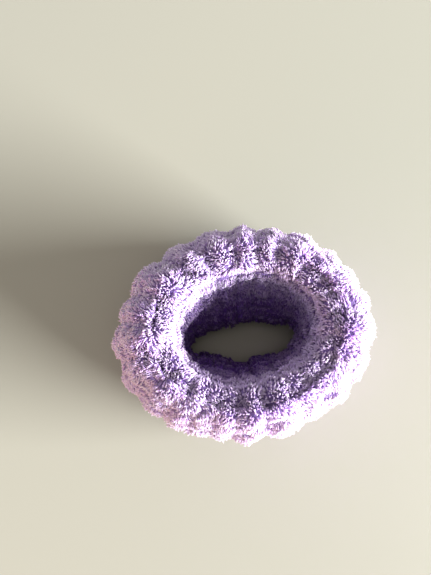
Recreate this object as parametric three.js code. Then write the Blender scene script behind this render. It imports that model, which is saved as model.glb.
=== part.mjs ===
// Plush elastic wash band of a spa headband set, standing on its lower edge.
// Two strips of coral fleece are sewn together along both edges into a fat ring, with the
// seam allowances turned in. A woven elastic loop behind the inner strip draws the ring
// into gathers, and a ring of wadding behind the outer strip keeps it plump.
// Millimetres, +Z up, the long axis of the oval along X, the foot at z = 0.
import * as THREE from 'three';

// Overall sizes, over the gathers
const LENGTH = 110;
const WIDTH = 91.5;
const HEIGHT = 52;

// The hole: its narrow throat near the foot, and its wider mouth at the top
const THROAT_LENGTH = 43;
const THROAT_WIDTH = 17.5;
const MOUTH_LENGTH = 48.5;
const MOUTH_WIDTH = 35.5;
const THROAT_SHIFT = 3.5; // the throat sits this far towards -Y of the mouth

// How far the gathers puff out of their creases
const PUFF_OUTSIDE = 2.8;
const PUFF_CREST = 1.6;
const PUFF_INSIDE = 2.0;

// Cloth, thread and elastic
const PLUSH = 3.2; // backing cloth and pile together
const BACKING = 0.9; // backing cloth alone, in the seam allowances
const WALL_CREST = 2.6; // from the wall of the hole to the top of its curve
const CREST_ROLL = 2.4; // from the top seam to the crest
const SEAM_ALLOWANCE = 4.5; // reach of the turned-in edges past the plush
const THREAD = 0.7;
const ELASTIC_WIDTH = 22;
const ELASTIC_THICK = 1.2;
const ELASTIC_ABOVE_SEAM = 1.8; // from the stitches of the foot seam to its lower edge
const ELASTIC_LAP = 14; // length of the sewn overlap of its two ends

// Gaps
const CLEAR = 0.3; // between pieces that touch
const STRIP_END_GAP = 0.3; // between the two butted ends of a fleece strip

// Creases of the gathers, in degrees round the oval from +X towards +Y
const CREASES = [
  -2, 13, 29, 44, 61, 77, 91, 108, 126, 148, 165,
  187, 207, 222, 234, 245, 256, 271, 289, 302, 318, 337,
];
const STEPS_PER_GATHER = 4;
const BACK_SEAM_CREASE = 10; // the crease that hides the ends of both strips

// Stitches
const EDGE_STITCHES = 24; // stitches in each overlocked edge
const BACK_SEAM_STITCHES = 3; // between each two places of the section
const BACK_SEAM_SWING = 0.035; // half width of its zigzag, in radians round the ring
const CLOSING_FROM = 232; // the part of the lower edge left open for turning, in degrees
const CLOSING_TO = 290;
const CLOSING_STITCHES = 7;
const LAP_STITCHES = 5;
const THREAD_SIDES = 4;

// ---------------------------------------------------------------------------
// The section of the ring
// ---------------------------------------------------------------------------

// A place on the section: half sizes of the oval there, its shift along Y, and its height.
const mix = (a, b, share) => a + (b - a) * share;
const ramp = (value, from, to) => THREE.MathUtils.smoothstep(value, from, to);
const bodyHeight = HEIGHT - PUFF_CREST;

// The crease line of the hole's wall, at a share of the height.
function wallOval(up) {
  const flare = ramp(up, 0.2, 0.87);
  return {
    x: mix(THROAT_LENGTH, MOUTH_LENGTH, flare) / 2 + PUFF_INSIDE,
    y: mix(THROAT_WIDTH, MOUTH_WIDTH, flare) / 2 + PUFF_INSIDE,
    shift: mix(-THROAT_SHIFT, 0, flare),
  };
}

// A place at a share of the way out from the hole's wall, and a share of the height.
function place(out, up, puff) {
  const wall = wallOval(up);
  return {
    x: mix(wall.x, LENGTH / 2 - PUFF_OUTSIDE, out),
    y: mix(wall.y, WIDTH / 2 - PUFF_OUTSIDE, out),
    shift: mix(wall.shift, 0, out),
    z: up * bodyHeight,
    puff,
  };
}

// A place a set distance out from the hole's wall. The two edge seams, and the crest between
// them and the wall, keep their distance from it whatever the size of the ring.
function besideWall(away, up, puff) {
  const wall = wallOval(up);
  return { x: wall.x + away, y: wall.y + away, shift: wall.shift, z: up * bodyHeight, puff };
}

const topSeamAway = WALL_CREST + PLUSH + BACKING + THREAD + CLEAR;
const footSeamAway = PLUSH + BACKING + ELASTIC_THICK + THREAD + 6 * CLEAR;

// Both strips in one round: over the crest, down the outside, under the foot, up the hole.
const topSeam = besideWall(topSeamAway, 0.985, 0);
const footSeam = besideWall(footSeamAway, 0.05, 0);
const flangeFoot = footSeam.z + PLUSH + SEAM_ALLOWANCE;
const flangeTop = topSeam.z - PLUSH - SEAM_ALLOWANCE;
const elasticFoot = flangeFoot + CLEAR + THREAD + ELASTIC_ABOVE_SEAM;
const elasticUp = (share) => (elasticFoot + ELASTIC_WIDTH * share) / bodyHeight;
const outsidePlaces = [
  besideWall(topSeamAway + CREST_ROLL, 1, PUFF_CREST),
  place(0.6, 0.945, PUFF_OUTSIDE),
  place(0.79, 0.79, PUFF_OUTSIDE),
  place(0.93, 0.59, PUFF_OUTSIDE),
  place(1, 0.38, PUFF_OUTSIDE),
  place(0.95, 0.17, PUFF_OUTSIDE),
  place(0.8, 0, PUFF_OUTSIDE),
  place(0.4, 0, 0),
];
const insidePlaces = [
  place(0.08, 0.12, PUFF_INSIDE),
  place(0, elasticUp(0), PUFF_INSIDE),
  place(0, elasticUp(0.5), PUFF_INSIDE),
  place(0, elasticUp(1), PUFF_INSIDE),
  place(0.01, 0.85, PUFF_INSIDE),
  besideWall(WALL_CREST, 0.965, PUFF_CREST),
];
const round = [topSeam, ...outsidePlaces, footSeam, ...insidePlaces];

// The direction into the filling at each place, in the mean section of the ring.
round.forEach((here, i) => {
  const before = round[(i + round.length - 1) % round.length];
  const after = round[(i + 1) % round.length];
  const run = (after.x + after.y - before.x - before.y) / 2;
  const rise = after.z - before.z;
  here.inward = new THREE.Vector2(rise, -run).normalize();
});

// A point at an angle round the oval, some way under the surface of the section.
function under(here, angle, depth, puffed = 0) {
  const lift = here.puff * puffed;
  const flat = here.z === 0;
  const side = (depth - lift) * here.inward.x;
  const rise = flat ? depth : (depth - lift) * here.inward.y;
  return new THREE.Vector3(
    (here.x + side) * Math.cos(angle),
    (here.y + side) * Math.sin(angle) + here.shift,
    here.z + rise,
  );
}

// A point on the web that joins the two edge seams inside the ring, beside it by `side`.
function onWeb(height, angle, side) {
  const share = (height - footSeam.z) / (topSeam.z - footSeam.z);
  return new THREE.Vector3(
    (mix(footSeam.x, topSeam.x, share) + side) * Math.cos(angle),
    (mix(footSeam.y, topSeam.y, share) + side) * Math.sin(angle)
      + mix(footSeam.shift, topSeam.shift, share),
    height,
  );
}

// ---------------------------------------------------------------------------
// Gathers
// ---------------------------------------------------------------------------

const meanGather = 360 / CREASES.length;

// Angles round the ring with the puff of the gather there: 0 in a crease, about 1 on a lobe.
function gatherSteps(firstCrease, gap) {
  const steps = [];
  for (let n = 0; n < CREASES.length; n += 1) {
    const here = (firstCrease + n) % CREASES.length;
    const next = (here + 1) % CREASES.length;
    const start = CREASES[here] + (here < firstCrease ? 360 : 0);
    const width = (CREASES[next] - CREASES[here] + 360) % 360;
    const size = mix(1, width / meanGather, 0.3);
    for (let i = 0; i < STEPS_PER_GATHER; i += 1) {
      const share = i / STEPS_PER_GATHER;
      steps.push({
        angle: THREE.MathUtils.degToRad(start + width * share),
        puffed: size * Math.sin(Math.PI * share) ** 0.7,
      });
    }
  }
  const end = THREE.MathUtils.degToRad(CREASES[firstCrease] + 360);
  steps.push({ angle: end, puffed: 0 });
  const halfGap = gap / 2 / (WIDTH / 2);
  steps[0].angle += halfGap;
  steps[steps.length - 1].angle -= halfGap;
  return steps;
}

// ---------------------------------------------------------------------------
// Solids
// ---------------------------------------------------------------------------

// Joins loops of points into one closed solid: a ring when it closes on itself, or a strip
// with a flat cap on each end. A ring whose loops have turned by `shift` corners on the way
// round closes onto the corners that they meet.
function loft(loops, closed, shift = 0) {
  const sides = loops[0].length;
  const positions = loops.flat().flatMap((p) => [p.x, p.y, p.z]);
  const index = [];
  const spans = closed ? loops.length : loops.length - 1;
  for (let i = 0; i < spans; i += 1) {
    const a = i * sides;
    const b = ((i + 1) % loops.length) * sides;
    const turned = b === 0 ? shift : 0;
    for (let j = 0; j < sides; j += 1) {
      const k = (j + 1) % sides;
      const onto = b + ((j + turned) % sides);
      const next = b + ((k + turned) % sides);
      index.push(a + j, onto, next, a + j, next, a + k);
    }
  }
  if (!closed) {
    const last = (loops.length - 1) * sides;
    for (const [p, q, r] of capFaces(loops[0])) {
      index.push(p, q, r, last + p, last + r, last + q);
    }
  }
  const solid = new THREE.BufferGeometry();
  solid.setAttribute('position', new THREE.Float32BufferAttribute(positions, 3));
  solid.setIndex(index);
  return facingOut(solid);
}

// The triangles of a flat cap, running the same way round as its loop. A bent loop carries
// its outline in the plane of the section, and a simple one is fanned.
function capFaces(loop) {
  if (!loop.outline) {
    return loop.slice(2).map((_, i) => [0, i + 1, i + 2]);
  }
  const faces = THREE.ShapeUtils.triangulateShape(loop.outline, []);
  const backwards = THREE.ShapeUtils.isClockWise(loop.outline);
  return faces.map(([p, q, r]) => (backwards ? [p, r, q] : [p, q, r]));
}

// Gives each loop its outline in the plane of the section: distance from the axis, height.
function outlined(loops) {
  for (const loop of loops) {
    loop.outline = loop.map((p) => new THREE.Vector2(Math.hypot(p.x, p.y), p.z));
  }
  return loops;
}

// Turns every triangle round if the solid is inside out.
function facingOut(solid) {
  const points = solid.getAttribute('position');
  const corner = (i) => new THREE.Vector3().fromBufferAttribute(points, i);
  let volume = 0;
  for (let i = 0; i < solid.index.count; i += 3) {
    const [a, b, c] = [0, 1, 2].map((n) => corner(solid.index.getX(i + n)));
    volume += a.dot(b.cross(c));
  }
  if (volume < 0) {
    solid.index.array.reverse();
  }
  solid.computeVertexNormals();
  return solid;
}

// A thread along a path of points. Its section is carried from point to point untwisted.
function thread(points, closed) {
  const count = points.length;
  const radius = THREAD / 2;
  const alongs = points.map((_, i) => {
    const before = points[closed ? (i + count - 1) % count : Math.max(i - 1, 0)];
    const after = points[closed ? (i + 1) % count : Math.min(i + 1, count - 1)];
    return after.clone().sub(before).normalize();
  });
  const onward = (side, along) => side.clone().addScaledVector(along, -side.dot(along)).normalize();
  const sides = [];
  alongs.forEach((along, i) => {
    const guide = i ? sides[i - 1] : new THREE.Vector3(points[0].x, points[0].y, 0).normalize();
    sides.push(onward(guide, along));
  });
  const loops = points.map((point, i) => {
    const side = sides[i];
    const top = side.clone().cross(alongs[i]);
    const loop = [];
    for (let n = 0; n < THREAD_SIDES; n += 1) {
      const turn = (2 * Math.PI * n) / THREAD_SIDES;
      loop.push(point.clone()
        .addScaledVector(side, radius * Math.cos(turn))
        .addScaledVector(top, radius * Math.sin(turn)));
    }
    return loop;
  });
  if (!closed) {
    return loft(loops, false);
  }
  const back = onward(sides[count - 1], alongs[0]);
  const over = back.dot(sides[0].clone().cross(alongs[0]));
  const turn = Math.atan2(over, back.dot(sides[0]));
  const corners = Math.round((turn * THREAD_SIDES) / (2 * Math.PI));
  return loft(loops, true, (corners + THREAD_SIDES) % THREAD_SIDES);
}

// ---------------------------------------------------------------------------
// Pieces
// ---------------------------------------------------------------------------

// The heights of a strip's edge: its face, the back of its plush, and the turned-in tip.
const topEdge = { face: topSeam.z, root: topSeam.z - PLUSH, tip: flangeTop };
const footEdge = { face: footSeam.z, root: footSeam.z + PLUSH, tip: flangeFoot };

// One fleece strip: its plush face, then its turned-in edges and its back. `hand` is 1 for
// the outer strip and -1 for the inner one, which lies on the other side of the web.
function fleeceStrip(places, hand, first, last) {
  const nearWeb = (hand * CLEAR) / 2;
  const farWeb = nearWeb + hand * BACKING;
  const loops = gatherSteps(BACK_SEAM_CREASE, STRIP_END_GAP).map(({ angle, puffed }) => [
    onWeb(first.face, angle, nearWeb),
    ...places.map((here) => under(here, angle, 0, puffed)),
    onWeb(last.face, angle, nearWeb),
    onWeb(last.tip, angle, nearWeb),
    onWeb(last.tip, angle, farWeb),
    onWeb(last.root, angle, farWeb),
    ...places.map((here) => under(here, angle, PLUSH)).reverse(),
    onWeb(first.root, angle, farWeb),
    onWeb(first.tip, angle, farWeb),
    onWeb(first.tip, angle, nearWeb),
  ]);
  return loft(outlined(loops), false);
}

function outerPanel() {
  return fleeceStrip(outsidePlaces, 1, topEdge, footEdge);
}

function innerPanel() {
  return fleeceStrip(insidePlaces, -1, footEdge, topEdge);
}

const evenAngles = (count) => Array.from({ length: count }, (_, i) => (2 * Math.PI * i) / count);

// Wadding between the web and the outer strip, kept off the strip by its back seam.
const besideWeb = CLEAR / 2 + BACKING + CLEAR + THREAD + CLEAR;
const waddingDepth = PLUSH + CLEAR + THREAD + CLEAR;

function waddingRing() {
  const top = topSeam.z - waddingDepth;
  const foot = footSeam.z + waddingDepth;
  const steps = CREASES.length * 2;
  return loft(evenAngles(steps).map((angle) => [
    onWeb(top, angle, besideWeb),
    ...outsidePlaces.map((here) => under(here, angle, waddingDepth)),
    onWeb(foot, angle, besideWeb),
  ]), true);
}

// The elastic follows the wall of the hole, and its last stretch laps over its first.
const elasticPlaces = insidePlaces.slice(1, 4);
const lapRadius = THROAT_LENGTH / 2 + PUFF_INSIDE + PLUSH;
const lapTurn = ELASTIC_LAP / lapRadius;
const lapStart = THREE.MathUtils.degToRad(CREASES[BACK_SEAM_CREASE]) + Math.PI / 2 - lapTurn / 2;
const elasticDepth = PLUSH + CLEAR;
const lapDepth = elasticDepth + ELASTIC_THICK + CLEAR;

function elasticBand() {
  const turns = 2 * Math.PI + lapTurn;
  const steps = 76;
  const loops = [];
  for (let i = 0; i <= steps; i += 1) {
    const turned = (turns * i) / steps;
    const lifted = ramp(turned, 1.6 * Math.PI, 2 * Math.PI - lapTurn / 2);
    const depth = mix(elasticDepth, lapDepth, lifted);
    const angle = lapStart + turned;
    const front = elasticPlaces.map((here) => under(here, angle, depth));
    const back = elasticPlaces.map((here) => under(here, angle, depth + ELASTIC_THICK)).reverse();
    loops.push([...front, ...back]);
  }
  return loft(outlined(loops), false);
}

// Zigzag on the outer face of the elastic's lap, from its lower edge to its upper one.
function elasticLapStitching() {
  const margin = lapTurn * 0.2;
  const bow = lapRadius * (1 - Math.cos(lapTurn / 2 - margin));
  const depth = lapDepth + ELASTIC_THICK + bow + CLEAR + THREAD / 2;
  const [low, middle, high] = elasticPlaces;
  const points = [];
  for (let i = 0; i <= LAP_STITCHES * 2; i += 1) {
    const angle = lapStart + (i % 2 ? lapTurn - margin : margin);
    for (const turn of [-0.2, 0.2]) {
      const up = mix(0.06, 0.94, (i + turn) / (LAP_STITCHES * 2));
      const [from, to] = up < 0.5 ? [low, middle] : [middle, high];
      const a = under(from, angle, depth);
      const b = under(to, angle, depth);
      points.push(a.lerp(b, (up * 2) % 1));
    }
  }
  return thread(points, false);
}

// Overlock over the turned-in edges of both strips: down one side, over the tip, up the other.
function edgeSeam(tip, into) {
  const beside = CLEAR / 2 + BACKING + CLEAR + THREAD / 2;
  const over = tip + into * (CLEAR + THREAD / 2);
  const deep = tip - into * SEAM_ALLOWANCE * 0.55;
  const pitch = (2 * Math.PI) / EDGE_STITCHES;
  const points = [];
  for (let i = 0; i < EDGE_STITCHES; i += 1) {
    const angle = pitch * i;
    points.push(
      onWeb(deep, angle + pitch * 0.09, beside),
      onWeb(over, angle + pitch * 0.18, beside),
      onWeb(over, angle + pitch * 0.32, -beside),
      onWeb(deep, angle + pitch * 0.41, -beside),
      onWeb(deep, angle + pitch * 0.59, -beside),
      onWeb(over, angle + pitch * 0.68, -beside),
      onWeb(over, angle + pitch * 0.82, beside),
      onWeb(deep, angle + pitch * 0.91, beside),
    );
  }
  return thread(points, true);
}

// Zigzag on the back of a strip, across the butted ends.
function backSeam(places) {
  const middle = THREE.MathUtils.degToRad(CREASES[BACK_SEAM_CREASE]);
  const depth = PLUSH + CLEAR + THREAD / 2;
  const points = [];
  for (let i = 0; i < places.length - 1; i += 1) {
    for (let n = 0; n < BACK_SEAM_STITCHES; n += 1) {
      const share = (n + 0.5) / BACK_SEAM_STITCHES;
      const swing = (points.length % 2 ? 1 : -1) * BACK_SEAM_SWING;
      const a = under(places[i], middle + swing, depth);
      const b = under(places[i + 1], middle + swing, depth);
      points.push(a.lerp(b, share));
    }
  }
  return thread(points, false);
}

// Ladder stitches across the closed turning gap, in the groove of the foot seam.
function closingStitches() {
  const from = THREE.MathUtils.degToRad(CLOSING_FROM);
  const to = THREE.MathUtils.degToRad(CLOSING_TO);
  const beside = 0.6;
  const height = footSeam.z - 2 * CLEAR - THREAD;
  const points = [];
  for (let i = 0; i < CLOSING_STITCHES * 2; i += 1) {
    const angle = mix(from, to, i / (CLOSING_STITCHES * 2 - 1));
    const side = Math.floor((i + 1) / 2) % 2 ? beside : -beside;
    points.push(onWeb(height, angle, side));
  }
  return thread(points, false);
}

// ---------------------------------------------------------------------------
// The assembly
// ---------------------------------------------------------------------------

const lavender = { color: 0xc9b4ea, roughness: 0.95, metalness: 0 };
const deepLavender = { color: 0xb198dc, roughness: 0.95, metalness: 0 };
const whiteThread = { color: 0xf1ecf6, roughness: 0.7, metalness: 0 };
const lilacThread = { color: 0xbfa8e2, roughness: 0.7, metalness: 0 };
const whiteElastic = { color: 0xf4f2ee, roughness: 0.8, metalness: 0 };
const wadding = { color: 0xfbfaf7, roughness: 1, metalness: 0 };

const band = new THREE.Group();

function add(name, geometry, finish) {
  const mesh = new THREE.Mesh(geometry, new THREE.MeshStandardMaterial(finish));
  mesh.name = name;
  band.add(mesh);
}

add('outer_panel', outerPanel(), lavender);
add('inner_panel', innerPanel(), deepLavender);
add('wadding_ring', waddingRing(), wadding);
add('elastic_band', elasticBand(), whiteElastic);
add('elastic_lap_stitching', elasticLapStitching(), whiteThread);
add('top_edge_seam', edgeSeam(flangeTop, -1), lilacThread);
add('foot_edge_seam', edgeSeam(flangeFoot, 1), lilacThread);
add('outer_back_seam', backSeam(outsidePlaces.slice(1, -1)), lilacThread);
add('inner_back_seam', backSeam(insidePlaces.slice(3, 5)), lilacThread);
add('closing_stitches', closingStitches(), lilacThread);

// The origin is under the middle of the band's box, on the surface that it stands on.
const extent = new THREE.Box3().setFromObject(band);
const middle = extent.getCenter(new THREE.Vector3());
band.position.set(-middle.x, -middle.y, -extent.min.z);

export default band;
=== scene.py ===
import math

import bpy
import numpy as np
from mathutils import Matrix, Vector
from mathutils.kdtree import KDTree


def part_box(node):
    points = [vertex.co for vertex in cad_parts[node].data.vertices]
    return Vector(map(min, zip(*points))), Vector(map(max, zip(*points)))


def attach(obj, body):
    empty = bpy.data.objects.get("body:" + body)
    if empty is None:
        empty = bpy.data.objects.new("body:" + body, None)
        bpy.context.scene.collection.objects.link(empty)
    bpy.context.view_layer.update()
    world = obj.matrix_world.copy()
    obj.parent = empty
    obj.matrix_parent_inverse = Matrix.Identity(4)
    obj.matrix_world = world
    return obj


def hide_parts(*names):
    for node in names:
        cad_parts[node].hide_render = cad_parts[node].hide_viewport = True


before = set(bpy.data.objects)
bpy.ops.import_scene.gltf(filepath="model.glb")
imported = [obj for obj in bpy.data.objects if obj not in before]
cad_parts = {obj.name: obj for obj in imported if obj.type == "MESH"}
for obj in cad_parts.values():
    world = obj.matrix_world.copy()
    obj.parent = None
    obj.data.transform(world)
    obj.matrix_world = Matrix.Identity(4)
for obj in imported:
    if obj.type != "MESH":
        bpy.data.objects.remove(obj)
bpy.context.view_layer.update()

# ---------------------------------------------------------------------------
# Sizes, in metres. The outside comes from the frame.
# ---------------------------------------------------------------------------

outside_low, outside_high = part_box("outer_panel")
wadding_low, wadding_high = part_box("wadding_ring")
MIDDLE = Vector(((wadding_low.x + wadding_high.x) / 2, (wadding_low.y + wadding_high.y) / 2, 0))
LENGTH = outside_high.x - outside_low.x
WIDTH = outside_high.y - outside_low.y
HEIGHT = outside_high.z

THROAT = (0.043, 0.0175)  # the narrow hole near the foot: length, width
MOUTH = (0.0485, 0.0355)  # the hole at the top
THROAT_SHIFT = 0.0035  # the throat sits this far towards -Y of the mouth
PUFF_OUTSIDE = 0.0028
PUFF_CREST = 0.0016
PUFF_INSIDE = 0.0020

# Creases of the gathers, in degrees round the oval from +X towards +Y
CREASES = (
    -2, 13, 29, 44, 61, 77, 91, 108, 126, 148, 165,
    187, 207, 222, 234, 245, 256, 271, 289, 302, 318, 337,
)

# The section of the ring: distance out from the hole's wall, share of the rest of the way to
# the outside, share of the height. It runs from the crest seam down the outside, under the
# foot and up the hole's wall.
OUTER_PLACES = (
    (0.0077, 0, 0.99), (0.0101, 0, 1.0), (0, 0.6, 0.945), (0, 0.79, 0.79), (0, 0.93, 0.59),
    (0, 1.0, 0.38), (0, 0.95, 0.17), (0, 0.8, 0.01), (0, 0.6, 0.0), (0, 0.4, 0.0),
)
INNER_PLACES = (
    (0.0078, 0, 0.05), (0, 0.08, 0.12), (0, 0, 0.26), (0, 0, 0.47), (0, 0, 0.69),
    (0, 0.01, 0.85), (0.0026, 0, 0.965),
)

CURVE_STEPS = 20  # points of the section's curve between two of its places

COLUMNS = 264  # round the ring
ROWS = 64  # round its section
CLOTH_THICK = 0.0007
PILE_DEPTH = 0.0019  # from the backing cloth to the tips of the leaning pile

# The puffing of the gathers
SIM_SCALE = 10.0  # the cloth is simulated ten times as large, where the solver is at ease
SIM_FRAMES = 22
PRESSURE = 9
SPARE_CLOTH = 0.16  # how much longer the cloth is than the ring, as a share
FIRST_SWELL = 0.0010  # bulge that each gather starts the simulation with
MOST_PUFF = 0.0042

# Where the lower wall slumps into the hole: middle and half width in degrees, and depth.
SLUMPS = ((232, 36, 0.0050), (287, 17, 0.0026), (100, 46, 0.0026), (50, 20, 0.0026))
WALL_LOBE = 0.0011  # bulge of each gather on the wall of the hole

# The pile
TUFTS_PER_MM2 = 3.7  # on the cloth before it is blown up
TUFT_LENGTH = 0.0022
TUFT_RADIUS = 0.00026
ABOVE_TABLE = 0.0002  # the lowest that a tuft reaches
TUFT_RISES = ((0.42, 1.25, 30), (0.36, 0.82, 30), (0.22, 0.0, 0))  # rise, growth, twist
BEND_START = math.radians(28)  # a tuft's lean from upright at its root, where the pile lies over
BEND_END = math.radians(66)  # and at its tip
CREST_HALF = 0.0055  # half width of the stretch of crest where the lie changes over
CREST_ROW = 0.0022  # distance that one row counts for there
CLUMP_SPACING = 0.0022
CLUMP_PULL = 0.25
LESS_SHADE_TURN = 335  # the side of the hole that gets less painted shade, in degrees round the oval
OUTER_PILES, INNER_PILES = 8, 4  # pieces that the pile of each strip is divided into
CARD_STRIP = 0.006  # share of the colour card's width that one tuft takes
RING_SHARE = 1.8  # how much more a tuft stands to the whole ring than to its own lobe
SEED = 41

# Colours of the pile: at a tuft's root, and its deepest and palest tint further up
# Outside: the root colour is darker than the dye, painted shade between the tufts
OUTSIDE_DYE_AND_ROOT_SHADE = (0.38, 0.23, 0.60), (0.50, 0.34, 0.71), (0.78, 0.65, 0.92)
# Inside: the same fleece with a much darker root and deep colour, painted shade of the hole
INSIDE_DYE_AND_HOLE_SHADE = (0.06, 0.014, 0.155), (0.07, 0.016, 0.21), (0.72, 0.57, 0.88)
OUTSIDE_SHEEN, INSIDE_SHEEN = 0.4, 0.15


def mix(a, b, share):
    return a + (b - a) * share


def ramp(value, low, high):
    share = min(max((value - low) / (high - low), 0), 1)
    return share * share * (3 - 2 * share)


# ---------------------------------------------------------------------------
# Camera, floor and light
# ---------------------------------------------------------------------------

CAMERA_FOOT = Vector((-0.0151, -0.0093, 0))  # under the camera, from the middle of the ring
CAMERA_HEIGHT = 0.2033
LENS = 27.05
TILT = math.radians(9.5)  # of the view from straight down
SIDE_TILT = math.radians(0.66)
TURN = math.radians(8.9)  # of the oval's long axis in the view

# Each light: place, size, power in watts, colour
WINDOW = (3.3, -1.6, 0.98), (2.7, 1.35), 950.0, (1.0, 0.985, 0.97)
WARM_FILL = (-0.60, -0.50, 0.12), (0.6, 0.2), 3.4, (1.0, 0.50, 0.25)
ROOM_LOW = (0.93, 0.95, 1.0, 1)  # the room's light from the sides
ROOM_HIGH = (0.64, 0.585, 0.50, 1)  # and from above


def look_down():
    """The camera, almost straight above the ring."""
    right = Vector((math.cos(TURN), -math.sin(TURN), 0))
    ahead = Vector((math.sin(TURN), math.cos(TURN), 0))
    view = Vector((0, 0, -1)) + math.tan(TILT) * ahead + math.tan(SIDE_TILT) * right
    view.normalize()
    side = view.cross(ahead.lerp(Vector((0, 0, 1)), 0.5)).normalized()
    up = side.cross(view)
    camera = bpy.data.objects.new("camera", bpy.data.cameras.new("camera"))
    camera.data.sensor_width = 36
    camera.data.lens = LENS
    camera.data.clip_start = 0.005
    turned = Matrix((side, up, -view)).transposed().to_4x4()
    place = MIDDLE + CAMERA_FOOT + Vector((0, 0, CAMERA_HEIGHT))
    camera.matrix_world = Matrix.Translation(place) @ turned
    bpy.context.scene.collection.objects.link(camera)
    bpy.context.scene.camera = camera


def area_light(name, place, size, power, colour):
    lamp = bpy.data.lights.new(name, "AREA")
    lamp.shape = "RECTANGLE"
    lamp.size, lamp.size_y = size
    lamp.energy = power
    lamp.color = colour
    held = bpy.data.objects.new(name, lamp)
    held.location = place
    aim = Vector((0, 0, 0.02)) - Vector(place)
    held.rotation_euler = aim.to_track_quat("-Z", "Y").to_euler()
    bpy.context.scene.collection.objects.link(held)


def light_studio():
    area_light("window", *WINDOW)
    area_light("warm_fill", *WARM_FILL)
    world = bpy.data.worlds.new("room")
    world.use_nodes = True
    nodes, links = world.node_tree.nodes, world.node_tree.links
    sky = nodes["Background"]
    place = nodes.new("ShaderNodeTexCoord")
    split = nodes.new("ShaderNodeSeparateXYZ")
    links.new(place.outputs["Generated"], split.inputs["Vector"])
    climb = nodes.new("ShaderNodeMapRange")
    climb.inputs["From Min"].default_value = 0.25
    climb.inputs["From Max"].default_value = 0.85
    links.new(split.outputs["Z"], climb.inputs["Value"])
    shade = nodes.new("ShaderNodeMix")
    shade.data_type = "RGBA"
    shade.inputs["A"].default_value = ROOM_LOW
    shade.inputs["B"].default_value = ROOM_HIGH
    links.new(climb.outputs["Result"], shade.inputs["Factor"])
    links.new(shade.outputs["Result"], sky.inputs["Color"])
    sky.inputs["Strength"].default_value = 0.8
    bpy.context.scene.world = world
    bpy.context.scene.view_settings.view_transform = "Standard"


def lay_floor():
    bpy.ops.object.select_all(action="DESELECT")
    bpy.ops.mesh.primitive_plane_add(size=4)
    floor = bpy.context.object
    floor.name = "floor"
    paint, shader = new_material("pale_table")
    shader.inputs["Base Color"].default_value = (0.335, 0.335, 0.287, 1)
    shader.inputs["Roughness"].default_value = 0.35
    shader.inputs["Coat Weight"].default_value = 0.3
    shader.inputs["Coat IOR"].default_value = 1.5
    shader.inputs["Coat Roughness"].default_value = 0.25
    floor.data.materials.append(paint)


# ---------------------------------------------------------------------------
# Materials
# ---------------------------------------------------------------------------


def new_material(name):
    material = bpy.data.materials.new(name)
    material.use_nodes = True
    return material, material.node_tree.nodes["Principled BSDF"]


def pile_group():
    """Colour of one tuft: across its tint from deep to pale, along it from root to tip, darker at
    the root as painted shade between the tufts.
    """
    tree = bpy.data.node_groups.new("pile_dye_and_root_shade", "ShaderNodeTree")
    face = tree.interface
    face.new_socket("Root", in_out="INPUT", socket_type="NodeSocketColor")
    face.new_socket("Deep", in_out="INPUT", socket_type="NodeSocketColor")
    face.new_socket("Pale", in_out="INPUT", socket_type="NodeSocketColor")
    face.new_socket("Colour", in_out="OUTPUT", socket_type="NodeSocketColor")
    nodes, links = tree.nodes, tree.links
    given = nodes.new("NodeGroupInput")
    put = nodes.new("NodeGroupOutput")
    lie = nodes.new("ShaderNodeUVMap")
    lie.uv_map = "OFBake"
    split = nodes.new("ShaderNodeSeparateXYZ")
    links.new(lie.outputs["UV"], split.inputs["Vector"])
    tint = nodes.new("ShaderNodeMix")
    tint.data_type = "RGBA"
    links.new(split.outputs["X"], tint.inputs["Factor"])
    links.new(given.outputs["Deep"], tint.inputs["A"])
    links.new(given.outputs["Pale"], tint.inputs["B"])
    # Painted shade: the colour darkens from the tip down to the root
    along = nodes.new("ShaderNodeMapRange")
    along.interpolation_type = "SMOOTHSTEP"
    along.inputs["From Min"].default_value = 0.05
    along.inputs["From Max"].default_value = 0.75
    links.new(split.outputs["Y"], along.inputs["Value"])
    body = nodes.new("ShaderNodeMix")
    body.data_type = "RGBA"
    links.new(along.outputs["Result"], body.inputs["Factor"])
    links.new(given.outputs["Root"], body.inputs["A"])
    links.new(tint.outputs["Result"], body.inputs["B"])
    stretch = nodes.new("ShaderNodeMapping")
    stretch.inputs["Scale"].default_value = (260, 5, 1)
    links.new(lie.outputs["UV"], stretch.inputs["Vector"])
    streak = nodes.new("ShaderNodeTexNoise")
    streak.inputs["Scale"].default_value = 1.0
    streak.inputs["Detail"].default_value = 2.0
    links.new(stretch.outputs["Vector"], streak.inputs["Vector"])
    shade = nodes.new("ShaderNodeMapRange")
    shade.inputs["To Min"].default_value = 0.84
    shade.inputs["To Max"].default_value = 1.12
    links.new(streak.outputs["Fac"], shade.inputs["Value"])
    fibre = nodes.new("ShaderNodeVectorMath")
    fibre.operation = "SCALE"
    links.new(body.outputs["Result"], fibre.inputs[0])
    links.new(shade.outputs["Result"], fibre.inputs["Scale"])
    links.new(fibre.outputs["Vector"], put.inputs["Colour"])
    return tree


def pile_material(name, group, root, deep, pale, sheen):
    material, shader = new_material(name)
    nodes, links = material.node_tree.nodes, material.node_tree.links
    dye = nodes.new("ShaderNodeGroup")
    dye.node_tree = group
    dye.inputs["Root"].default_value = (*root, 1)
    dye.inputs["Deep"].default_value = (*deep, 1)
    dye.inputs["Pale"].default_value = (*pale, 1)
    links.new(dye.outputs["Colour"], shader.inputs["Base Color"])
    shader.inputs["Roughness"].default_value = 0.75
    shader.inputs["Specular IOR Level"].default_value = 0.5 * sheen
    shader.inputs["Sheen Weight"].default_value = sheen
    shader.inputs["Sheen Roughness"].default_value = 0.4
    shader.inputs["Subsurface Weight"].default_value = 0.5
    shader.inputs["Subsurface Scale"].default_value = 0.0012
    shader.inputs["Subsurface Radius"].default_value = (1.0, 0.8, 1.1)
    return material


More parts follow.
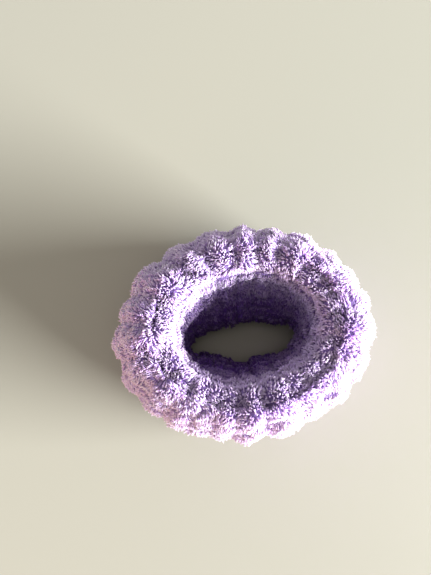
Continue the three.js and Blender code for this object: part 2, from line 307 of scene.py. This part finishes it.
def weave_group():
    """Crossed threads on Object coordinates: a colour and a height."""
    tree = bpy.data.node_groups.new("weave", "ShaderNodeTree")
    face = tree.interface
    face.new_socket("Threads", in_out="INPUT", socket_type="NodeSocketFloat")
    face.new_socket("Low", in_out="INPUT", socket_type="NodeSocketColor")
    face.new_socket("High", in_out="INPUT", socket_type="NodeSocketColor")
    face.new_socket("Colour", in_out="OUTPUT", socket_type="NodeSocketColor")
    face.new_socket("Height", in_out="OUTPUT", socket_type="NodeSocketFloat")
    nodes, links = tree.nodes, tree.links
    given = nodes.new("NodeGroupInput")
    put = nodes.new("NodeGroupOutput")
    place = nodes.new("ShaderNodeTexCoord")
    waves = []
    for axis in ("Z", "DIAGONAL"):
        wave = nodes.new("ShaderNodeTexWave")
        wave.wave_type = "BANDS"
        wave.bands_direction = axis
        wave.inputs["Distortion"].default_value = 1.2
        wave.inputs["Detail"].default_value = 1.0
        links.new(place.outputs["Object"], wave.inputs["Vector"])
        links.new(given.outputs["Threads"], wave.inputs["Scale"])
        waves.append(wave)
    both = nodes.new("ShaderNodeMath")
    both.operation = "MULTIPLY"
    links.new(waves[0].outputs["Fac"], both.inputs[0])
    links.new(waves[1].outputs["Fac"], both.inputs[1])
    tint = nodes.new("ShaderNodeMix")
    tint.data_type = "RGBA"
    links.new(both.outputs["Value"], tint.inputs["Factor"])
    links.new(given.outputs["Low"], tint.inputs["A"])
    links.new(given.outputs["High"], tint.inputs["B"])
    links.new(tint.outputs["Result"], put.inputs["Colour"])
    links.new(both.outputs["Value"], put.inputs["Height"])
    return tree


def woven_material(name, group, threads, low, high, depth, roughness):
    material, shader = new_material(name)
    nodes, links = material.node_tree.nodes, material.node_tree.links
    weave = nodes.new("ShaderNodeGroup")
    weave.node_tree = group
    weave.inputs["Threads"].default_value = threads
    weave.inputs["Low"].default_value = (*low, 1)
    weave.inputs["High"].default_value = (*high, 1)
    links.new(weave.outputs["Colour"], shader.inputs["Base Color"])
    bump = nodes.new("ShaderNodeBump")
    bump.inputs["Distance"].default_value = depth
    links.new(weave.outputs["Height"], bump.inputs["Height"])
    links.new(bump.outputs["Normal"], shader.inputs["Normal"])
    shader.inputs["Roughness"].default_value = roughness
    shader.inputs["Sheen Weight"].default_value = 0.2
    return material


def wadding_material():
    material, shader = new_material("fluffy_wadding")
    nodes, links = material.node_tree.nodes, material.node_tree.links
    place = nodes.new("ShaderNodeTexCoord")
    fluff = nodes.new("ShaderNodeTexNoise")
    fluff.inputs["Scale"].default_value = 420
    fluff.inputs["Detail"].default_value = 6
    links.new(place.outputs["Object"], fluff.inputs["Vector"])
    tint = nodes.new("ShaderNodeValToRGB")
    tint.color_ramp.elements[0].color = (0.78, 0.77, 0.74, 1)
    tint.color_ramp.elements[1].color = (0.95, 0.94, 0.92, 1)
    links.new(fluff.outputs["Fac"], tint.inputs["Fac"])
    links.new(tint.outputs["Color"], shader.inputs["Base Color"])
    bump = nodes.new("ShaderNodeBump")
    bump.inputs["Distance"].default_value = 0.0006
    links.new(fluff.outputs["Fac"], bump.inputs["Height"])
    links.new(bump.outputs["Normal"], shader.inputs["Normal"])
    shader.inputs["Roughness"].default_value = 0.95
    return material


# ---------------------------------------------------------------------------
# The backing cloth: one gathered ring, puffed by a cloth simulation
# ---------------------------------------------------------------------------


def place_on_section(away, out, up):
    """Half sizes of the oval, its height and its shift along Y at one place of the section."""
    flare = ramp(up, 0.2, 0.87)
    wall_x = mix(THROAT[0], MOUTH[0], flare) / 2 + PUFF_INSIDE + away
    wall_y = mix(THROAT[1], MOUTH[1], flare) / 2 + PUFF_INSIDE + away
    return Vector((
        mix(wall_x, LENGTH / 2 - PUFF_OUTSIDE, out),
        mix(wall_y, WIDTH / 2 - PUFF_OUTSIDE, out),
        up * (HEIGHT - PUFF_CREST),
        mix(-THROAT_SHIFT, 0, flare) * (1 - out),
    ))


def smooth_round(points, steps):
    """A closed Catmull-Rom curve through the points."""
    curve = []
    count = len(points)
    for i in range(count):
        a, b, c, d = points[i - 1], points[i], points[(i + 1) % count], points[(i + 2) % count]
        for k in range(steps):
            t = k / steps
            curve.append(0.5 * (
                2 * b + (c - a) * t + (2 * a - 5 * b + 4 * c - d) * t * t
                + (3 * b - a - 3 * c + d) * t * t * t
            ))
    return curve


def section_rows():
    """ROWS even steps round the section, under the pile, and the row of the foot seam."""
    curve = smooth_round([place_on_section(*p) for p in OUTER_PLACES + INNER_PLACES], CURVE_STEPS)
    flat = [Vector(((p.x + p.y) / 2, p.z)) for p in curve]
    run = [0.0]
    for i in range(len(flat)):
        run.append(run[-1] + (flat[(i + 1) % len(flat)] - flat[i]).length)
    rows = []
    for r in range(ROWS):
        at = run[-1] * r / ROWS
        i = max(k for k in range(len(flat)) if run[k] <= at)
        share = (at - run[i]) / (run[i + 1] - run[i])
        rows.append(curve[i].lerp(curve[(i + 1) % len(curve)], share))
    under = []
    for r, here in enumerate(rows):
        step = rows[(r + 1) % ROWS] - rows[r - 1]
        along = Vector(((step.x + step.y) / 2, step.z)).normalized()
        under.append(here + PILE_DEPTH * Vector((along.y, along.y, -along.x, 0)))
    foot_row = round(ROWS * run[CURVE_STEPS * len(OUTER_PLACES)] / run[-1])
    return under, foot_row


def gathered_ring(rows):
    """The ring of cloth, extruded loop by loop round its section."""
    bpy.ops.object.select_all(action="DESELECT")
    bpy.ops.mesh.primitive_circle_add(vertices=COLUMNS, radius=1)
    ring = bpy.context.object
    bpy.ops.object.mode_set(mode="EDIT")
    bpy.ops.mesh.select_all(action="SELECT")
    bpy.ops.transform.resize(value=(rows[0].x, rows[0].y, 1))
    bpy.ops.transform.translate(value=(0, rows[0].w, rows[0].z))
    for before, here in zip(rows, rows[1:] + rows[:1]):
        rise = {"value": (0, here.w - before.w, here.z - before.z)}
        bpy.ops.mesh.extrude_edges_move(TRANSFORM_OT_translate=rise)
        grow = (here.x / before.x, here.y / before.y, 1)
        bpy.ops.transform.resize(value=grow, center_override=(0, here.w, here.z))
    bpy.ops.mesh.select_all(action="SELECT")
    bpy.ops.mesh.remove_doubles(threshold=1e-5)
    bpy.ops.mesh.normals_make_consistent(inside=False)
    bpy.ops.object.mode_set(mode="OBJECT")
    return ring


def read(mesh, what):
    kept = np.empty(len(mesh.vertices) * 3)
    mesh.vertices.foreach_get(what, kept)
    return kept.reshape(-1, 3)


def face_corners(mesh):
    corner = np.empty(len(mesh.polygons) * 4, int)
    mesh.polygons.foreach_get("vertices", corner)
    return corner.reshape(-1, 4)


def put_in_order(mesh):
    """Lists the faces by their corners, so that the cloth settles the same way on each run."""
    places, corner = read(mesh, "co"), face_corners(mesh)
    first = (corner.argmin(1)[:, None] + np.arange(4)) % 4
    corner = np.take_along_axis(corner, first, 1)
    corner = corner[np.lexsort(corner.T[::-1])]
    mesh.clear_geometry()
    mesh.from_pydata(places.tolist(), [], corner.tolist())


def row_and_turn(ring, rows):
    """The row of each vertex, and its angle round the oval in degrees."""
    places = read(ring.data, "co")
    half_x = np.array([r.x for r in rows])
    half_y = np.array([r.y for r in rows])
    height = np.array([r.z for r in rows])
    shift = np.array([r.w for r in rows])
    along_y = (places[:, 1:2] - shift) / half_y
    off = np.abs((places[:, :1] / half_x) ** 2 + along_y ** 2 - 1)
    row = (off + 1e3 * np.abs(places[:, 2:] - height)).argmin(1)
    up = (places[:, 1] - shift[row]) / half_y[row]
    turn = np.degrees(np.arctan2(up, places[:, 0] / half_x[row]))
    return row, turn % 360


def share_of_gather(turn):
    """How far each angle lies across its own gather, from 0 at one crease to 1 at the next."""
    creases = np.sort(np.array(CREASES) % 360)
    edges = np.concatenate(([creases[-1] - 360], creases, [creases[0] + 360]))
    at = np.searchsorted(edges, turn, side="right") - 1
    return (turn - edges[at]) / (edges[at + 1] - edges[at])


def wall_bulge(row, turn, across, foot_row):
    """How far each place on the wall of the hole bulges inwards, between the creases."""
    up = np.clip((row - foot_row + 2) / (ROWS - foot_row + 2), 0, 1)
    wall = np.where(up > 0, np.sin(np.pi * up ** 0.8), 0)
    low = np.where(up > 0, np.clip(1.6 - 2.6 * up, 0, 1), 0)
    bulge = wall * np.sin(np.pi * across) ** 0.7 * WALL_LOBE
    for middle, half, depth in SLUMPS:
        aside = np.clip(np.abs(turn - middle) / half, 0, 1)
        bulge += low * depth * np.cos(np.pi / 2 * aside) ** 0.8
    return bulge


def puff_gathers(ring, row, turn, foot_row):
    """Blows the cloth up between its creases, which the elastic holds, and over the flat foot."""
    mesh = ring.data
    before = read(mesh, "co")
    across = share_of_gather(turn)
    foot = before[:, 2] < PILE_DEPTH * 1.5
    step = 360 / COLUMNS
    near = np.abs((turn[:, None] - np.array(CREASES) + 180) % 360 - 180).min(1)
    held = (near <= step * 0.5) | foot
    swell = np.sin(np.pi * across) ** 0.8 * FIRST_SWELL * ~foot
    seeded = before + read(mesh, "normal") * swell[:, None]
    mesh.vertices.foreach_set("co", (seeded * SIM_SCALE).ravel())
    mesh.update()
    pins = ring.vertex_groups.new(name="creases")
    pins.add(np.nonzero(held)[0].tolist(), 1.0, "REPLACE")
    cloth = ring.modifiers.new("cloth", "CLOTH")
    cloth.collision_settings.use_collision = False
    cloth.settings.quality = 6
    cloth.settings.tension_stiffness = 8
    cloth.settings.compression_stiffness = 8
    cloth.settings.shear_stiffness = 3
    cloth.settings.bending_stiffness = 0.5
    cloth.settings.use_pressure = True
    cloth.settings.uniform_pressure_force = PRESSURE
    cloth.settings.shrink_min = -SPARE_CLOTH
    cloth.settings.vertex_group_mass = "creases"
    cloth.settings.effector_weights.gravity = 0
    scene = bpy.context.scene
    scene.frame_start = 1
    scene.frame_end = SIM_FRAMES
    for n in range(1, SIM_FRAMES + 1):
        scene.frame_set(n)
    bpy.ops.object.select_all(action="DESELECT")
    ring.select_set(True)
    bpy.context.view_layer.objects.active = ring
    bpy.ops.object.modifier_apply(modifier=cloth.name)
    scene.frame_set(1)
    moved = read(mesh, "co") / SIM_SCALE - before
    far = np.linalg.norm(moved, axis=1, keepdims=True)
    after = before + moved * np.minimum(1, MOST_PUFF / np.maximum(far, 1e-9))
    into_hole = unit(read(mesh, "normal") * (1, 1, 0))
    after += into_hole * wall_bulge(row, turn, across, foot_row)[:, None]
    after[:, 2] = np.maximum(after[:, 2], PILE_DEPTH * 0.5)
    mesh.vertices.foreach_set("co", after.ravel())
    mesh.update()


def settle(ring):
    """Sets the ring on the frame's own middle."""
    ring.data.transform(Matrix.Translation(MIDDLE))
    ring.vertex_groups.clear()


# ---------------------------------------------------------------------------
# Pile: one tuft, modelled once and sown over the cloth
# ---------------------------------------------------------------------------


def tuft_pattern():
    """A tapered, twisted tuft one unit long along Z. Gives its corners and its faces."""
    bpy.ops.object.select_all(action="DESELECT")
    bpy.ops.mesh.primitive_circle_add(vertices=3, radius=0.9, fill_type="NGON")
    tuft = bpy.context.object
    bpy.ops.object.mode_set(mode="EDIT")
    bpy.ops.mesh.select_all(action="SELECT")
    for rise, width, twist in TUFT_RISES:
        lift = {"value": (0, 0, rise)}
        bpy.ops.mesh.extrude_region_move(TRANSFORM_OT_translate=lift)
        bpy.ops.transform.resize(value=(max(width, 1e-4), max(width, 1e-4), 1))
        if twist:
            bpy.ops.transform.rotate(
                value=math.radians(twist), orient_axis="Z", center_override=(0, 0, 0)
            )
    bpy.ops.mesh.select_all(action="SELECT")
    bpy.ops.mesh.remove_doubles(threshold=0.01)
    bpy.ops.mesh.normals_make_consistent(inside=False)
    bpy.ops.object.mode_set(mode="OBJECT")
    corners = read(tuft.data, "co")
    faces = [tuple(f.vertices) for f in tuft.data.polygons]
    bpy.data.objects.remove(tuft)
    return corners, faces


def wander(places, waves, draw):
    """A smooth random field of about -1 to 1, made of plane waves of the given length."""
    total = np.zeros(len(places))
    for _ in range(7):
        way = draw.normal(size=3)
        way *= 2 * np.pi / (waves * np.linalg.norm(way)) * draw.uniform(0.7, 1.4)
        total += np.sin(places @ way + draw.uniform(0, 2 * np.pi))
    return total / 2.6


def ramp_each(values, low, high):
    share = np.clip((values - low) / (high - low), 0, 1)
    return share * share * (3 - 2 * share)


def unit(vectors):
    return vectors / np.maximum(np.linalg.norm(vectors, axis=1, keepdims=True), 1e-12)


class Sown:
    """Roots of the tufts over the whole ring, with the lie of the pile there."""

    def __init__(self, ring, row, turn, foot_row, flat_area, smooth_normals):
        draw = np.random.default_rng(SEED)
        mesh = ring.data
        corner = face_corners(mesh)
        many = (flat_area * 1e6 * TUFTS_PER_MM2 + draw.random(len(corner))).astype(int)
        face = np.repeat(np.arange(len(corner)), many)
        a, b = draw.random((2, len(face)))
        weight = np.stack(((1 - a) * (1 - b), a * (1 - b), a * b, (1 - a) * b), 1)
        places, normals = read(mesh, "co"), read(mesh, "normal")
        at = corner[face]
        self.root = (places[at] * weight[:, :, None]).sum(1)
        lobe = (normals[at] * weight[:, :, None]).sum(1)
        self.out = unit(lobe + RING_SHARE * (smooth_normals[at] * weight[:, :, None]).sum(1))
        # Which way the rows run at each face: from its first row to the next one round.
        rows = row[corner]
        last = np.where((rows.min(1) == 0) & (rows.max(1) > 1), 0, rows.max(1))
        onward = np.where(rows == last[:, None], 1.0, -1.0)
        along = unit((places[corner] * onward[:, :, None]).sum(1))
        first = np.where(last == 0, ROWS - 1, last - 1)
        self.is_outer = (first < foot_row)[face]
        self.turn = turn[at[:, 0]]
        share = (first + 0.5)[face] / ROWS
        from_crest = np.where(share > 0.5, share - 1, share) * ROWS * CREST_ROW
        self.lay_over(along[face], from_crest, draw)
        self.length = TUFT_LENGTH * (1 + 0.16 * wander(self.root, 0.006, draw))
        self.length *= draw.uniform(0.75, 1.2, len(face))
        self.twist = draw.uniform(0, 2 * np.pi, len(face))
        self.gather_to_clumps(draw)
        self.tint_with_painted_shade(from_crest, draw)

    def lay_over(self, along, from_crest, draw):
        """The pile lies away from the crest, and stands up in swirls where it changes over."""
        side = unit(np.cross(self.out, along))
        ahead = np.cross(side, self.out)
        away = np.tanh((from_crest + 0.003 * wander(self.root, 0.02, draw)) / CREST_HALF)
        swirl = 0.45 * wander(self.root, 0.010, draw) + 0.30 * wander(self.root, 0.0045, draw)
        cross = 0.55 * wander(self.root, 0.026, draw) + 0.60 * wander(self.root, 0.011, draw)
        cross += 0.25 * wander(self.root, 0.0045, draw)
        away += swirl + draw.normal(0, 0.22, len(away))
        cross += draw.normal(0, 0.25, len(cross))
        lie = ahead * away[:, None] + side * cross[:, None]
        self.lean = np.clip(np.linalg.norm(lie, axis=1), 0.1, 1.25)
        self.lie = unit(lie)

    def gather_to_clumps(self, draw):
        """Pulls each tip towards the middle of its clump, as washed pile does."""
        area = len(self.root) / TUFTS_PER_MM2 * 1e-6
        count = int(area / CLUMP_SPACING ** 2)
        heads = self.root[draw.choice(len(self.root), count, replace=False)]
        tree = KDTree(count)
        for i, head in enumerate(heads):
            tree.insert(head, i)
        tree.balance()
        nearest = np.array([tree.find(p)[1] for p in self.root])
        self.pull = (heads[nearest] - self.root) * CLUMP_PULL

    def tint_with_painted_shade(self, from_crest, draw):
        """The tint of each tuft, from 0 for the deepest to 1 for the palest, with painted shade
        along the crest and deep in the hole.
        """
        count = len(self.root)
        tint = 0.5 + 0.16 * wander(self.root, 0.009, draw) + draw.normal(0, 0.14, count)
        # Painted shade: the tint is darker along the crest.
        tint -= 0.26 * np.exp(-(from_crest / 0.006) ** 2)
        # Painted shade: the pile inside the hole is darker the deeper it lies, less so round one
        # side of the hole.
        less_shade_share = np.clip(np.cos(np.radians(self.turn - LESS_SHADE_TURN)), 0, 1) ** 2
        painted_hole_shade = ramp_each(-self.root[:, 2], -0.046, -0.022) * (1 - 0.35 * less_shade_share)
        inside = 0.85 + 0.4 * (tint - 0.5) - 0.85 * painted_hole_shade
        self.tint = np.clip(np.where(self.is_outer, tint, inside), 0.03, 0.97)


def bent_tufts(sown, chosen, corners):
    """Where the corners of each chosen tuft lie, once it leans over in a curve."""
    out, lie = sown.out[chosen], sown.lie[chosen]
    lean, length = sown.lean[chosen][:, None], sown.length[chosen][:, None]
    start = unit(out * np.cos(BEND_START * lean) + lie * np.sin(BEND_START * lean))
    end = unit(out * np.cos(BEND_END * lean) + lie * np.sin(BEND_END * lean))
    root = sown.root[chosen] - out * CLOTH_THICK * 0.5
    knee = root + start * length * 0.5
    tip = knee + end * length * 0.5 + sown.pull[chosen]
    s = corners[:, 2][None, :, None]
    spine = (
        root[:, None] * (1 - s) ** 2 + 2 * knee[:, None] * s * (1 - s) + tip[:, None] * s ** 2
    )
    along = unit(tip - root)
    side = unit(np.cross(along, out))
    across = np.cross(along, side)
    c, n = np.cos(sown.twist[chosen])[:, None], np.sin(sown.twist[chosen])[:, None]
    side, across = side * c + across * n, across * c - side * n
    wide = corners[:, 0][None, :, None] * TUFT_RADIUS
    deep = corners[:, 1][None, :, None] * TUFT_RADIUS
    places = spine + side[:, None] * wide + across[:, None] * deep
    places[..., 2] = np.maximum(places[..., 2], ABOVE_TABLE)
    return places


def grow_pile(name, sown, chosen, pattern, material):
    """One piece of pile: a copy of the tuft on every chosen root."""
    corners, faces = pattern
    count, per = int(chosen.sum()), len(corners)
    pile = bpy.data.meshes.new(name)
    sizes = np.tile([len(f) for f in faces], count)
    loops = np.concatenate([np.array(f) for f in faces])
    index = (loops[None] + per * np.arange(count)[:, None]).ravel()
    pile.vertices.add(count * per)
    pile.loops.add(len(index))
    pile.polygons.add(len(sizes))
    pile.vertices.foreach_set("co", bent_tufts(sown, chosen, corners).ravel())
    pile.loops.foreach_set("vertex_index", index)
    pile.polygons.foreach_set("loop_start", np.concatenate(([0], np.cumsum(sizes)[:-1])))
    pile.update(calc_edges=True)
    pile.polygons.foreach_set("use_smooth", np.ones(len(sizes), bool))
    # Each tuft takes its own narrow strip of the colour card, dye and painted shade: tint across,
    # root to tip along.
    card = pile.uv_layers.new(name="OFBake")
    width = (corners[loops, 0] + 0.5 * corners[loops, 1]) * CARD_STRIP
    tint = sown.tint[chosen][:, None] + width[None]
    height = np.broadcast_to(np.clip(corners[loops, 2], 0.004, 0.996), tint.shape)
    card.data.foreach_set("uv", np.stack((tint, height), 2).ravel())
    pile.materials.append(material)
    piece = bpy.data.objects.new(name, pile)
    bpy.context.scene.collection.objects.link(piece)
    return piece


# ---------------------------------------------------------------------------
# Assembly
# ---------------------------------------------------------------------------


def dress_frame(weave):
    """Materials for the pieces inside the ring, which keep their own shape."""
    elastic = woven_material(
        "woven_elastic", weave, 900, (0.62, 0.61, 0.58), (0.90, 0.89, 0.86), 0.0004, 0.7
    )
    lilac = woven_material(
        "lilac_thread", weave, 2400, (0.40, 0.30, 0.60), (0.66, 0.55, 0.86), 0.0002, 0.55
    )
    white = woven_material(
        "white_thread", weave, 2400, (0.70, 0.69, 0.72), (0.92, 0.91, 0.93), 0.0002, 0.55
    )
    finishes = {
        "elastic_band": elastic,
        "elastic_lap_stitching": white,
        "wadding_ring": wadding_material(),
        "top_edge_seam": lilac,
        "foot_edge_seam": lilac,
        "outer_back_seam": lilac,
        "inner_back_seam": lilac,
        "closing_stitches": lilac,
    }
    for node, finish in finishes.items():
        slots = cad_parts[node].material_slots
        for slot in slots:
            slot.material = finish


def cut_strips(ring, row, foot_row, backing):
    """Parts the ring at the crest and foot seams into its two strips, and thickens them."""
    mesh = ring.data
    rows = row[face_corners(mesh)]
    last = np.where((rows.min(1) == 0) & (rows.max(1) > 1), ROWS, rows.max(1))
    inner = last > foot_row
    bpy.ops.object.select_all(action="DESELECT")
    ring.select_set(True)
    bpy.context.view_layer.objects.active = ring
    mesh.materials.append(backing)
    bpy.ops.object.mode_set(mode="EDIT")
    bpy.ops.mesh.select_all(action="DESELECT")
    bpy.ops.object.mode_set(mode="OBJECT")
    mesh.polygons.foreach_set("select", inner)
    bpy.ops.object.mode_set(mode="EDIT")
    bpy.ops.mesh.select_mode(type="FACE")
    bpy.ops.mesh.separate(type="SELECTED")
    bpy.ops.object.mode_set(mode="OBJECT")
    other = next(o for o in bpy.context.selected_objects if o is not ring)
    ring.name, other.name = "outer_strip", "inner_strip"
    for strip in (ring, other):
        bpy.ops.object.select_all(action="DESELECT")
        strip.select_set(True)
        bpy.context.view_layer.objects.active = strip
        wall = strip.modifiers.new("wall", "SOLIDIFY")
        wall.thickness = CLOTH_THICK
        wall.offset = -1
        bpy.ops.object.modifier_apply(modifier=wall.name)
        bpy.ops.object.shade_smooth()
    return ring, other


def build():
    look_down()
    light_studio()
    lay_floor()
    weave = weave_group()
    dye = pile_group()
    dress_frame(weave)
    backing = woven_material(
        "knitted_backing", weave, 1500, (0.22, 0.13, 0.42), (0.34, 0.22, 0.58), 0.0003, 0.9
    )
    outside_pile = pile_material("outside_pile", dye, *OUTSIDE_DYE_AND_ROOT_SHADE, OUTSIDE_SHEEN)
    # The inside pile is the same fleece as the outside, with painted shade of the hole in its
    # colours
    inside_pile_painted_shade = pile_material("inside_pile_painted_shade", dye, *INSIDE_DYE_AND_HOLE_SHADE, INSIDE_SHEEN)
    rows, foot_row = section_rows()
    ring = gathered_ring(rows)
    put_in_order(ring.data)
    row, turn = row_and_turn(ring, rows)
    smooth_normals = read(ring.data, "normal")
    flat_area = np.empty(len(ring.data.polygons))
    ring.data.polygons.foreach_get("area", flat_area)
    puff_gathers(ring, row, turn, foot_row)
    settle(ring)
    sown = Sown(ring, row, turn, foot_row, flat_area, smooth_normals)
    pattern = tuft_pattern()
    outer_strip, inner_strip = cut_strips(ring, row, foot_row, backing)
    pieces = []
    for n in range(OUTER_PILES):
        chosen = sown.is_outer & (sown.turn * OUTER_PILES // 360 == n)
        pieces.append(grow_pile(f"outer_pile_{n + 1}", sown, chosen, pattern, outside_pile))
    for n in range(INNER_PILES):
        chosen = ~sown.is_outer & (sown.turn * INNER_PILES // 360 == n)
        pieces.append(grow_pile(f"inner_pile_{n + 1}", sown, chosen, pattern, inside_pile_painted_shade))
    for piece in (outer_strip, inner_strip, *pieces):
        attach(piece, "root")
        outer = piece.name.startswith("outer")
        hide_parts("outer_panel" if outer else "inner_panel")


build()
